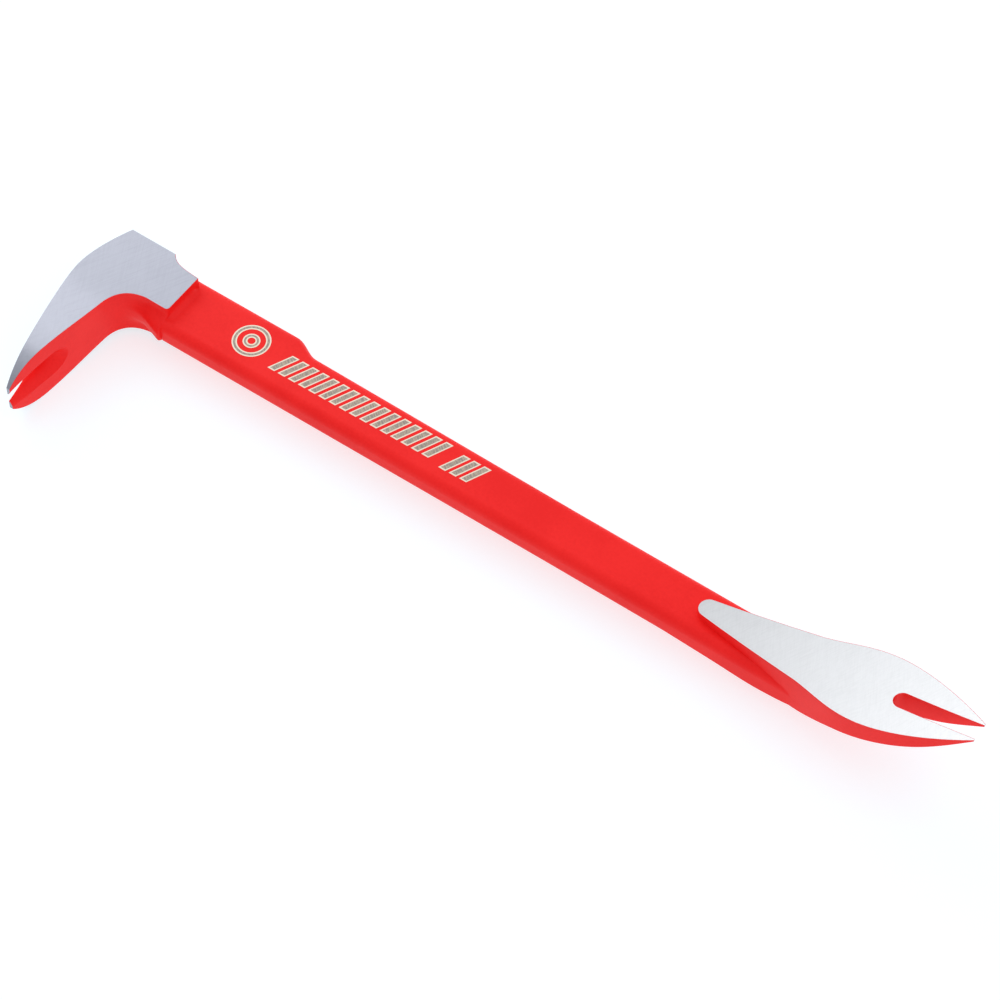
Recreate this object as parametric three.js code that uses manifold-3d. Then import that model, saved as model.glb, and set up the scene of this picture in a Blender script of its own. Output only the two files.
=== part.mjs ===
/**
 * Ten-inch nail puller: one steel forging with a hooked claw at one end and a forked claw at the
 * other, under a baked colour coat that is ground away on the working faces.
 *
 * Bar frame, in millimetres: X runs along the shank from the head's shoulder to the fork tips,
 * -Y is the side that the hook reaches to, and Z is up as the tool lies on its side. The origin
 * is where the shank's centreline meets the shoulder. The last lines shift the whole group, so
 * that the middle of its box's underside is at the origin.
 */
import * as THREE from 'three';
import { mergeVertices } from 'three/addons/utils/BufferGeometryUtils.js';
import { LoftGeometry } from 'three/addons/geometries/LoftGeometry.js';
import Module from 'manifold-3d';

const wasm = await Module();
wasm.setup();

// ---- Coat: a thin skin over the forging, and the room left between the two solids ----
const COAT_THICKNESS = 0.2;
const COAT_GAP = 0.1;
const GROUND_OVERCUT = 1;         // how far the coat's inner cutter passes a ground face

// ---- Shank: a flat bar with rounded arrises, and a swell beside the head ----
const SHANK_LENGTH = 180;         // shoulder to where the fork grows wider than the shank
const SHANK_WIDTH = 13.8;         // along the plain length
const SHANK_HEAD_WIDTH = 15.2;    // at the shoulder
const SHANK_TAPER_LENGTH = 115;   // shoulder to where the sides grow parallel
const SHANK_THICKNESS = 7.4;
const SHANK_ARRIS = 2.5;
const SWELL_HEIGHT = 2.8;         // how far the far edge stands out beside the head
const SWELL_LENGTH = 29;
const SWELL_STEP = 8;             // length of the S that ends the swell
const SHANK_ROOT = 10.5;          // how deep the shank runs into the head
const SHANK_ROOT_NECK = 3.9;      // how much narrower its hook side is in there
const SHANK_TAIL = 2;             // how far its tapered tail runs on inside the fork
const SHANK_TAIL_LENGTH = 4;
const SHANK_TAIL_TAPER = 2;
const SHANK_TAIL_RISE = 2;

// ---- Head: strike face, notch, shoulder and throat ----
const HEAD_LENGTH = 27.2;         // shoulder to the farthest point of the back
const HEAD_THICKNESS = 13.8;
const STRIKE_HEIGHT = 10.6;       // strike face above the centreline
const STRIKE_LENGTH = 13.6;
const NOTCH_LENGTH = 9.3;         // strike face's edge to the shoulder
const NOTCH_DEPTH = 2.5;
const NECK_DROP = 4.5;            // the head's hook side, below the centreline
const SHOULDER_ROUND = 1;
const THROAT_ROUND = 8;           // how far the throat's curve runs each way

// ---- Hooked claw ----
const HOOK_REACH = 44.3;          // tips below the centreline
const HOOK_BACK_DROP = 5.5;       // the back's farthest point, below the centreline
const HOOK_TIP_SET = 8.6;         // tips ahead of the back's farthest point
const HOOK_ROOT_SET = 12.5;       // the inner face at the throat, ahead of the same point
const HOOK_TIP_THICKNESS = 1;
const HOOK_WIDTH = 17.2;
const HOOK_WIDEST = 32.5;         // where it is that wide, below the centreline
const HOOK_FLARE_START = 9;
const HOOK_TIP_WIDTH = 7.9;       // over the two tips
const HOOK_SLOT_WIDTH = 7;        // at the mouth, on the inner face
const HOOK_SLOT_BULB = 8.2;       // at its widest
const HOOK_SLOT_LENGTH = 20.6;
const HOOK_SLOT_BULB_SET = 5.2;   // closed end to where it is widest
const HOOK_SLOT_TAPER = 0.045;    // how much smaller the slot gets, for each mm towards the back

// ---- Forked claw ----
const FORK_LENGTH = 46.8;         // end of the shank's length to the tips
const FORK_WIDTH = 20.7;
const FORK_WIDEST = 26.3;         // tips to where it is that wide
const FORK_TIP_WIDTH = 5.2;       // over the two tips
const FORK_SLOT_WIDTH = 4.4;
const FORK_SLOT_LENGTH = 22.2;
const FORK_TIP_THICKNESS = 0.5;
const FORK_MID_THICKNESS = 5.6;   // half-way along the tines
const FORK_ROOT_THICKNESS = 8.8;  // where the fork is widest
const FORK_CROWN = 0.28;          // how much thinner the fork is at its edges, as a share
const HEEL_DEPTH = 0.8;           // bulge under the shank's end
const PAD_LENGTH = 26.5;          // ground face ahead of the fork, along the shank
const PAD_NOSE_RADIUS = 2.6;
const PAD_RISE = 2;               // the nose above the shank's top
const PAD_SLOPE = 0.07;           // rise for each mm, at the nose
const PAD_BEND_RADIUS = 350;

// ---- Fineness of the facets ----
const ARC_STEPS = 5;              // in a rounded arris
const CURVE_STEPS = 9;            // in a free curve
const FORK_STATIONS = 22;
const FORK_COLUMNS = 14;

const shankTop = SHANK_THICKNESS / 2;
const backX = -HEAD_LENGTH;
const tipX = SHANK_LENGTH + FORK_LENGTH;
const noseX = SHANK_LENGTH - PAD_LENGTH;
const CLEAR = 12;                 // how far a prism's plain ends stand clear of the part

/** Height of the fork's ground face: a straight rise at the nose that bends steadily upwards. */
function groundHeight(x) {
  const run = x - noseX;
  return shankTop + PAD_RISE + PAD_SLOPE * run + run * run / (2 * PAD_BEND_RADIUS);
}

/** Points along a path that starts at x, y, without its last point. */
function trace(steps, x, y, draw) {
  const path = new THREE.Path();
  path.moveTo(x, y);
  draw(path);
  return path.getPoints(steps).slice(0, -1);
}

/** Moves each edge of an anticlockwise outline inwards; insets holds one distance for each edge. */
function shrink(points, insets) {
  const edges = points.map((point, i) => {
    const along = points[(i + 1) % points.length].clone().sub(point).normalize();
    const inward = new THREE.Vector2(-along.y, along.x).multiplyScalar(insets[i]);
    return { start: point.clone().add(inward), along };
  });
  return edges.map((edge, i) => {
    const before = edges[(i + edges.length - 1) % edges.length];
    const turn = before.along.cross(edge.along);
    if (Math.abs(turn) < 1e-6) return edge.start;
    const reach = edge.start.clone().sub(before.start).cross(edge.along) / turn;
    return before.start.clone().addScaledVector(before.along, reach);
  });
}

/** The same inset on every edge. */
function shrinkEvenly(points, inset) {
  return shrink(points, points.map(() => inset));
}

/** A half outline with its mirror image across the first axis, anticlockwise. */
function mirrored(half) {
  const offAxis = half.filter((point) => point.y > 1e-9);
  const whole = [...half.map((point) => new THREE.Vector2(point.x, -point.y)), ...offAxis.reverse()];
  return THREE.ShapeUtils.isClockWise(whole) ? whole.reverse() : whole;
}

/** Turns a closed geometry into a solid that can be joined and cut. */
function solid(geometry) {
  const bare = new THREE.BufferGeometry().copy(geometry);
  bare.deleteAttribute('normal');
  bare.deleteAttribute('uv');
  const merged = mergeVertices(bare, 1e-5);
  return new wasm.Manifold(new wasm.Mesh({
    numProp: 3,
    vertProperties: merged.attributes.position.array,
    triVerts: new Uint32Array(merged.index.array),
  }));
}

/** A straight prism: the outline lies in the plane of across and up, and runs along their normal. */
function prism(points, across, up, from, to) {
  const shape = new THREE.Shape(points);
  const geometry = new THREE.ExtrudeGeometry(shape, { depth: to - from, bevelEnabled: false });
  geometry.translate(0, 0, from);
  geometry.applyMatrix4(new THREE.Matrix4().makeBasis(across, up, across.clone().cross(up)));
  return solid(geometry);
}

/** A solid through sections that each lie across X: [x, outline in Y and Z] pairs. */
function loft(sections) {
  const rings = sections.map(([x, points]) => points.map((p) => new THREE.Vector3(x, p.x, p.y)));
  return solid(new LoftGeometry(rings, { capStart: true, capEnd: true }));
}

const alongX = new THREE.Vector3(1, 0, 0);
const alongY = new THREE.Vector3(0, 1, 0);
const alongZ = new THREE.Vector3(0, 0, 1);

/** The head from above, with each edge's inset: coated faces take one value, ground ones the other. */
function headOutline(coated, ground) {
  const strikeEnd = -NOTCH_LENGTH - STRIKE_LENGTH;
  const notchY = STRIKE_HEIGHT - NOTCH_DEPTH;
  const tip = new THREE.Vector2(backX + HOOK_TIP_SET, -HOOK_REACH);
  const throat = new THREE.Vector2(backX + HOOK_ROOT_SET, -NECK_DROP - THROAT_ROUND);
  const neckX = throat.x + THROAT_ROUND;
  const pull = THROAT_ROUND * 0.6;
  const shoulder = trace(3, -SHOULDER_ROUND, -NECK_DROP, (path) => {
    path.quadraticCurveTo(0, -NECK_DROP, 0, SHOULDER_ROUND - NECK_DROP);
    path.lineTo(0, notchY - SHOULDER_ROUND / 3);
  });
  const notch = trace(CURVE_STEPS, 0, notchY - SHOULDER_ROUND / 3, (path) => {
    path.bezierCurveTo(-NOTCH_LENGTH * 0.5, notchY, -NOTCH_LENGTH * 0.8, notchY,
      -NOTCH_LENGTH, STRIKE_HEIGHT);
  });
  const back = trace(CURVE_STEPS, -NOTCH_LENGTH, STRIKE_HEIGHT, (path) => {
    path.lineTo(strikeEnd, STRIKE_HEIGHT);
    path.bezierCurveTo(strikeEnd - 2, STRIKE_HEIGHT - 4.2, backX, 5 - HOOK_BACK_DROP,
      backX, -HOOK_BACK_DROP);
    path.bezierCurveTo(backX, -HOOK_BACK_DROP - 9, tip.x - 2.6, tip.y + 15, tip.x, tip.y);
    path.lineTo(tip.x + HOOK_TIP_THICKNESS, tip.y);
  });
  const inner = trace(CURVE_STEPS, tip.x + HOOK_TIP_THICKNESS, tip.y, (path) => {
    path.lineTo(throat.x, throat.y);
    path.bezierCurveTo(throat.x + 0.5, throat.y + pull, neckX - pull, -NECK_DROP - 0.6,
      neckX, -NECK_DROP);
    path.lineTo(-SHOULDER_ROUND, -NECK_DROP);
  });
  const insets = [[shoulder, coated], [notch, coated], [back, ground], [inner, coated]]
    .flatMap(([points, inset]) => points.map(() => inset));
  return shrink([...shoulder, ...notch, ...back, ...inner], insets);
}

/** Half the hook from the front: flat flanks that flare into a leaf and close in to the tips. */
function hookHalf() {
  const flank = HEAD_THICKNESS / 2;
  const belly = HOOK_WIDTH / 2;
  return trace(CURVE_STEPS, STRIKE_HEIGHT + CLEAR, flank, (path) => {
    path.lineTo(-HOOK_FLARE_START, flank);
    path.bezierCurveTo(-HOOK_FLARE_START - 8, flank, 8.5 - HOOK_WIDEST, belly, -HOOK_WIDEST, belly);
    path.bezierCurveTo(-HOOK_WIDEST - 4.5, belly, 3.1 - HOOK_REACH, HOOK_TIP_WIDTH / 2 + 3.3,
      -HOOK_REACH, HOOK_TIP_WIDTH / 2);
    path.lineTo(-HOOK_REACH - CLEAR, HOOK_TIP_WIDTH / 2);
    path.lineTo(-HOOK_REACH - CLEAR, 0);
  });
}

/** Half the hook's slot on the inner face: a round closed end, a bulb, and a mouth past the tips. */
function hookSlotHalf() {
  const closed = HOOK_SLOT_LENGTH - HOOK_REACH;
  const bulb = closed - HOOK_SLOT_BULB_SET;
  const mouth = HOOK_SLOT_WIDTH / 2;
  return trace(CURVE_STEPS - 2, closed, 0, (path) => {
    path.bezierCurveTo(closed, 2.5, bulb + 2.6, HOOK_SLOT_BULB / 2, bulb, HOOK_SLOT_BULB / 2);
    path.quadraticCurveTo((bulb - HOOK_REACH) / 2, mouth, -HOOK_REACH, mouth);
    path.lineTo(-HOOK_REACH - CLEAR, mouth);
    path.lineTo(-HOOK_REACH - CLEAR, 0);
  });
}

/** The hook slot's cutter, which shrinks towards the mouth as it goes deeper into the hook. */
function hookSlot(coated) {
  const outline = shrinkEvenly(mirrored(hookSlotHalf()), -coated);
  const innerX = backX + HOOK_ROOT_SET;
  return loft([backX - 4, innerX + 6].map((x) => {
    const share = 1 - HOOK_SLOT_TAPER * (innerX - x);
    return [x, outline.map((p) => new THREE.Vector2((p.x + HOOK_REACH) * share - HOOK_REACH, p.y * share))];
  }));
}

/** Head and hooked claw: the outline from above, trimmed to the outline from the front. */
function head(coated, ground) {
  const reach = HOOK_WIDTH;
  const plan = prism(headOutline(coated, ground), alongX, alongY, -reach, reach);
  const front = prism(shrinkEvenly(mirrored(hookHalf()), ground), alongY, alongZ,
    backX - CLEAR, CLEAR);
  return plan.intersect(front).subtract(hookSlot(coated));
}

/** A rounded rectangle across the shank, from its near edge to its far edge. */
function shankSection(near, far, bottom, top, radius) {
  const path = new THREE.Path();
  path.absarc(far - radius, top - radius, radius, 0, Math.PI / 2);
  path.absarc(near + radius, top - radius, radius, Math.PI / 2, Math.PI);
  path.absarc(near + radius, bottom + radius, radius, Math.PI, Math.PI * 1.5);
  path.absarc(far - radius, bottom + radius, radius, Math.PI * 1.5, Math.PI * 2);
  return path.getPoints(ARC_STEPS);
}

/** Half the shank's width at x: it narrows from the shoulder, then stays parallel. */
function shankHalfWidth(x) {
  const share = THREE.MathUtils.clamp(x / SHANK_TAPER_LENGTH, 0, 1);
  return THREE.MathUtils.lerp(SHANK_HEAD_WIDTH, SHANK_WIDTH, share) / 2;
}

/** The shank: its root inside the head, the swell and its S, the plain length and the tail. */
function shank(coated) {
  const station = (x, nearCut, swell, fall = 0) => {
    const half = shankHalfWidth(x);
    return [x, shankSection(coated + nearCut - half, half + swell - coated,
      coated + fall - shankTop, shankTop - coated - fall / 3, SHANK_ARRIS - coated - fall / 2)];
  };
  const step = Array.from({ length: CURVE_STEPS }, (_, i) => {
    const share = i / (CURVE_STEPS - 1);
    const ease = (1 + Math.cos(Math.PI * share)) / 2;
    return station(SWELL_LENGTH + SWELL_STEP * share, 0, SWELL_HEIGHT * ease);
  });
  const tail = SHANK_LENGTH + SHANK_TAIL;
  return loft([
    station(-SHANK_ROOT, SHANK_ROOT_NECK, SWELL_HEIGHT - 0.1),
    station(-SHANK_ROOT * 0.6, SHANK_ROOT_NECK * 0.7, SWELL_HEIGHT - 0.2),
    station(-SHANK_ROOT * 0.25, SHANK_ROOT_NECK * 0.2, SWELL_HEIGHT - 0.3),
    station(SHOULDER_ROUND, 0, SWELL_HEIGHT - 0.3),
    ...step,
    station(SHANK_TAPER_LENGTH, 0, 0),
    station(tail - SHANK_TAIL_LENGTH, 0, 0),
    station(tail, SHANK_TAIL_TAPER, -SHANK_TAIL_TAPER, SHANK_TAIL_RISE),
  ]);
}

/** Half the fork from above: the round nose of its ground pad, a straight flank and the leaf. */
function forkHalf() {
  const noseCentre = noseX + PAD_NOSE_RADIUS;
  const widest = tipX - FORK_WIDEST;
  const belly = FORK_WIDTH / 2;
  const flank = SHANK_WIDTH / 2 + 0.1;
  return trace(CURVE_STEPS, noseX, 0, (path) => {
    path.absarc(noseCentre, 0, PAD_NOSE_RADIUS, Math.PI, Math.PI * 0.56, true);
    path.lineTo(SHANK_LENGTH, flank);
    path.bezierCurveTo(SHANK_LENGTH + 8, flank + 1.5, widest - 7, belly, widest, belly);
    path.bezierCurveTo(widest + 8, belly, tipX - 8.5, FORK_TIP_WIDTH / 2 + 4.3, tipX, FORK_TIP_WIDTH / 2);
    path.lineTo(tipX, 0);
  });
}

/** Half the fork's width at x, read off its outline. */
function forkHalfWidth(x) {
  const half = forkHalf();
  const i = Math.max(1, half.findIndex((point) => point.x >= x));
  const [a, b] = [half[i - 1], half[i]];
  return THREE.MathUtils.mapLinear(x, a.x, b.x, a.y, b.y);
}

/** Everything above the fork's underside, which is crowned and thins towards the tips. */
function aboveUnderside(coated) {
  const widest = tipX - FORK_WIDEST;
  const middle = (widest + tipX) / 2 + 3;
  const underside = new THREE.SplineCurve([
    new THREE.Vector2(noseX - 4, 1 - shankTop),
    new THREE.Vector2(SHANK_LENGTH - 6, -shankTop - HEEL_DEPTH),
    new THREE.Vector2(widest, groundHeight(widest) - FORK_ROOT_THICKNESS),
    new THREE.Vector2(middle, groundHeight(middle) - FORK_MID_THICKNESS),
    new THREE.Vector2(tipX, groundHeight(tipX) - FORK_TIP_THICKNESS),
  ]).getPoints(FORK_STATIONS);
  const end = underside.at(-1).clone().add(new THREE.Vector2(2, 1));
  const side = FORK_WIDTH / 2 + 1;
  return loft([...underside, end].map(({ x, y: centre }) => {
    const width = forkHalfWidth(Math.min(Math.max(x, noseX + 1), tipX - 1e-3));
    const crown = FORK_CROWN * (groundHeight(x) - centre);
    const bottom = Array.from({ length: FORK_COLUMNS + 1 }, (_, i) => {
      const y = side * (2 * i / FORK_COLUMNS - 1);
      const share = Math.min(Math.abs(y) / width, 1.25);
      return new THREE.Vector2(y, centre + coated + crown * share ** 4);
    });
    const above = groundHeight(tipX) + CLEAR;
    return [x, [...bottom, new THREE.Vector2(side, above), new THREE.Vector2(-side, above)]];
  }));
}

/** Everything below the fork's ground face. */
function belowGround(ground) {
  const face = Array.from({ length: FORK_STATIONS }, (_, i) => {
    const x = THREE.MathUtils.lerp(tipX + CLEAR, noseX - CLEAR, i / (FORK_STATIONS - 1));
    return new THREE.Vector2(x, groundHeight(x) - ground);
  });
  const floor = [new THREE.Vector2(noseX - CLEAR, -CLEAR), new THREE.Vector2(tipX + CLEAR, -CLEAR)];
  return prism([...floor, ...face], alongX, alongZ, -FORK_WIDTH, FORK_WIDTH);
}

/** The fork's slot: parallel sides, a round closed end, and open past the tips. */
function forkSlot(coated) {
  const half = FORK_SLOT_WIDTH / 2;
  const outline = mirrored(trace(CURVE_STEPS, tipX - FORK_SLOT_LENGTH, 0, (path) => {
    path.absarc(tipX - FORK_SLOT_LENGTH + half, 0, half, Math.PI, Math.PI / 2, true);
    path.lineTo(tipX + CLEAR, half);
    path.lineTo(tipX + CLEAR, 0);
  }));
  return prism(shrinkEvenly(outline, -coated), alongX, alongY, -2 * CLEAR, 3 * CLEAR);
}

/** Forked claw and ground pad: the outline from above, between the underside and the ground face. */
function fork(coated, ground) {
  const plan = prism(shrinkEvenly(mirrored(forkHalf()), coated), alongX, alongY, -CLEAR, 3 * CLEAR);
  return plan.intersect(aboveUnderside(coated)).intersect(belowGround(ground));
}

/** The whole tool, with its coated faces and its ground faces each moved in by their own inset. */
function tool(coated, ground) {
  return head(coated, ground).add(shank(coated)).add(fork(coated, ground)).subtract(forkSlot(coated));
}

/** A named mesh from a solid. */
function part(name, body, color, roughness, metalness) {
  const { numProp, vertProperties, triVerts } = body.getMesh();
  const geometry = new THREE.BufferGeometry();
  geometry.setAttribute('position', new THREE.BufferAttribute(vertProperties, numProp));
  geometry.setIndex(new THREE.BufferAttribute(triVerts, 1));
  geometry.computeVertexNormals();
  const mesh = new THREE.Mesh(geometry, new THREE.MeshStandardMaterial({ color, roughness, metalness }));
  mesh.name = name;
  return mesh;
}

const forging = tool(COAT_THICKNESS + COAT_GAP, 0);
const coat = tool(0, 0).subtract(tool(COAT_THICKNESS, -GROUND_OVERCUT));

const nailPuller = new THREE.Group();
nailPuller.add(part('forged_bar', forging, 0xc4c8cc, 0.35, 1));
nailPuller.add(part('colour_coat', coat, 0xe8231c, 0.4, 0));

const box = new THREE.Box3().setFromObject(nailPuller);
const middle = box.getCenter(new THREE.Vector3());
nailPuller.position.set(-middle.x, -middle.y, -box.min.z);

export default nailPuller;
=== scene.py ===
"""Looks of a ten-inch nail puller: a steel forging with a red baked coat and ground working faces.

Sizes in the classes are millimetres in the bar's own frame: X from the head's shoulder to the
fork's tips, -Y the way the hook reaches, Z up, and the origin where the shank's centreline meets
the shoulder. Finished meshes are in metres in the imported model's frame.
"""
import logging
import math
from dataclasses import dataclass
from enum import Enum
from typing import Any, Iterable, Sequence

import bmesh
import bpy
import numpy as np
from mathutils import Matrix, Vector


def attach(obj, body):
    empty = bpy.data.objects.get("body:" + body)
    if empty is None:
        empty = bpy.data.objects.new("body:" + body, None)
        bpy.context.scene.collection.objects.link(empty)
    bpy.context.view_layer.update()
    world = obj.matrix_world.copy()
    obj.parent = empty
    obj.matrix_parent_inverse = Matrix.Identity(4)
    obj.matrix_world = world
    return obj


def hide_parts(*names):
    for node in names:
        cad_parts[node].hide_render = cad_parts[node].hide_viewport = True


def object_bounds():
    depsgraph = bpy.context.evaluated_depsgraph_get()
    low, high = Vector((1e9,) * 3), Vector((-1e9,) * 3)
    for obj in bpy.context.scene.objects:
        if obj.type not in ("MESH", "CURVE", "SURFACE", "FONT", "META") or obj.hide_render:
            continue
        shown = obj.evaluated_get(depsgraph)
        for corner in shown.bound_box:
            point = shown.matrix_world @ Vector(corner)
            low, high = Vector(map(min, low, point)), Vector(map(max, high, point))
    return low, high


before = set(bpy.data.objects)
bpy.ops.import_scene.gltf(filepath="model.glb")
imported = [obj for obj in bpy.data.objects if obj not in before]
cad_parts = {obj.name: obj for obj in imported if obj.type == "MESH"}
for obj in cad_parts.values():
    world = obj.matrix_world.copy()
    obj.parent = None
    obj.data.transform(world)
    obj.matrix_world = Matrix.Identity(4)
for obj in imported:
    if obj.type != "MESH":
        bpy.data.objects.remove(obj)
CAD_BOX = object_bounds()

log = logging.getLogger("nail_puller")
MM = 0.001
BAR_ORIGIN = np.array([-99.8, 16.85, 8.6])  # bar frame's origin in the row frame, mm


class Slot(Enum):
    """The record's material slots."""
    STEEL = "ground_steel"
    COAT = "red_coat"


class Depth(Enum):
    """How far under the coat's outer skin a surface lies, in mm."""
    SKIN = 0.0
    UNDERSIDE = 0.06
    STEEL = 0.08


# ---- curves and patches

def bezier(start: Sequence[float], pull_a: Sequence[float], pull_b: Sequence[float],
           end: Sequence[float], share: np.ndarray) -> np.ndarray:
    """Cubic Bezier curve: the four points weighted by (1-s)^3, 3s(1-s)^2, 3s^2(1-s) and s^3.

    Args:
        start, pull_a, pull_b, end: points as (x, y).
        share: values of s from 0 to 1.

    Returns:
        One point for each share, as an (n, 2) array.
    """
    a, b, c, d = (np.asarray(p, float) for p in (start, pull_a, pull_b, end))
    s = np.asarray(share, float)[:, None]
    return a * (1 - s) ** 3 + 3 * b * s * (1 - s) ** 2 + 3 * c * s ** 2 * (1 - s) + d * s ** 3


def line(start: Sequence[float], end: Sequence[float], share: np.ndarray) -> np.ndarray:
    """Points at the given shares of the way from start to end."""
    a, b = np.asarray(start, float), np.asarray(end, float)
    return a + (b - a) * np.asarray(share, float)[:, None]


def even(count: int) -> np.ndarray:
    """Even shares from 0 to 1, without the 1."""
    return np.arange(count) / count


def crowded(count: int) -> np.ndarray:
    """Shares from 0 to 1 that crowd towards 1: the sine of an even quarter turn."""
    return np.sin(np.linspace(0, math.pi / 2, count))


def chain(*pieces: np.ndarray) -> np.ndarray:
    """One run of points from several."""
    return np.concatenate(pieces)


def eased(share: np.ndarray) -> np.ndarray:
    """Smooth step: the share s becomes s^2 (3 - 2s), level at both ends."""
    return share ** 2 * (3 - 2 * share)


def tangents(points: np.ndarray) -> np.ndarray:
    """Unit tangents of a plane curve, from the differences of its neighbours."""
    step = np.gradient(points, axis=0)
    return step / np.linalg.norm(step, axis=1, keepdims=True)


def lengths(points: np.ndarray) -> np.ndarray:
    """The distance along a plane curve to each of its points."""
    return np.append(0, np.cumsum(np.linalg.norm(np.diff(points, axis=0), axis=1)))


def at_lengths(points: np.ndarray, want: np.ndarray) -> np.ndarray:
    """Points at the given distances along a plane curve."""
    return np.stack([np.interp(want, lengths(points), points[:, k]) for k in (0, 1)], axis=1)


def inset(points: np.ndarray, depth: float) -> np.ndarray:
    """The curve moved to its left by depth: each point plus depth times its turned tangent."""
    along = tangents(points)
    return points + depth * np.stack([-along[:, 1], along[:, 0]], axis=1)


def between(first: np.ndarray, last: np.ndarray, shares: np.ndarray) -> np.ndarray:
    """Ruled surface: first plus (last - first) times each share, as rows by columns by 3."""
    return first[:, None, :] + (last - first)[:, None, :] * np.asarray(shares)[None, :, None]


def mirrored(patches: Iterable[np.ndarray], axis: int) -> list[np.ndarray]:
    """The patches with their mirror images across one axis.

    Args:
        patches: grids of points.
        axis: 0, 1 or 2, the axis that changes sign.

    Returns:
        Each patch followed by its image.
    """
    flip = np.ones(3)
    flip[axis] = -1
    return [image for patch in patches for image in (patch, patch * flip)]


def rim(outer: np.ndarray, inner: np.ndarray, border: str) -> np.ndarray:
    """The strip that joins two patches along one border: first, last, left or right."""
    pick = {"first": np.s_[0], "last": np.s_[-1], "left": np.s_[:, 0], "right": np.s_[:, -1]}[border]
    return np.stack([outer[pick], inner[pick]])


def piece_from(name: str, patches: Sequence[np.ndarray], crease: float = 35.0) -> bpy.types.Object:
    """Welds grids of points into one closed mesh with its faces outward.

    Args:
        name: the piece's name.
        patches: arrays of rows by columns by 3, in mm in the bar frame; a fourth value is 1
            on a mark's outline and 0 inside it.
        crease: edges that turn by more than this many degrees are shaded sharp.

    Returns:
        The object, at the origin, in metres in the row frame.
    """
    points, quads, start = [], [], 0
    for patch in patches:
        rows, cols = patch.shape[:2]
        at = start + np.arange(rows * cols).reshape(rows, cols)
        quads.append(np.stack([at[:-1, :-1], at[1:, :-1], at[1:, 1:], at[:-1, 1:]], -1).reshape(-1, 4))
        points.append(patch.reshape(rows * cols, -1))
        start += rows * cols
    mesh = bpy.data.meshes.new(name)
    spots = np.concatenate(points)
    mesh.from_pydata((spots[:, :3] + BAR_ORIGIN) * MM, [], np.concatenate(quads).tolist())
    if spots.shape[1] > 3:
        mesh.attributes.new("rim", "FLOAT", "POINT").data.foreach_set("value", spots[:, 3])
    work = bmesh.new()
    work.from_mesh(mesh)
    bmesh.ops.remove_doubles(work, verts=work.verts, dist=2e-7)
    bmesh.ops.dissolve_degenerate(work, edges=work.edges, dist=1e-7)
    bmesh.ops.recalc_face_normals(work, faces=work.faces)
    open_edges = sum(not edge.is_manifold for edge in work.edges)
    work.to_mesh(mesh)
    work.free()
    mesh.shade_smooth()
    mesh.set_sharp_from_angle(angle=math.radians(crease))
    piece = bpy.data.objects.new(name, mesh)
    bpy.context.scene.collection.objects.link(piece)
    log.info("%s: %d faces, %d open edges", name, len(mesh.polygons), open_edges)
    return piece


# ---- head and hooked claw

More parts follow.
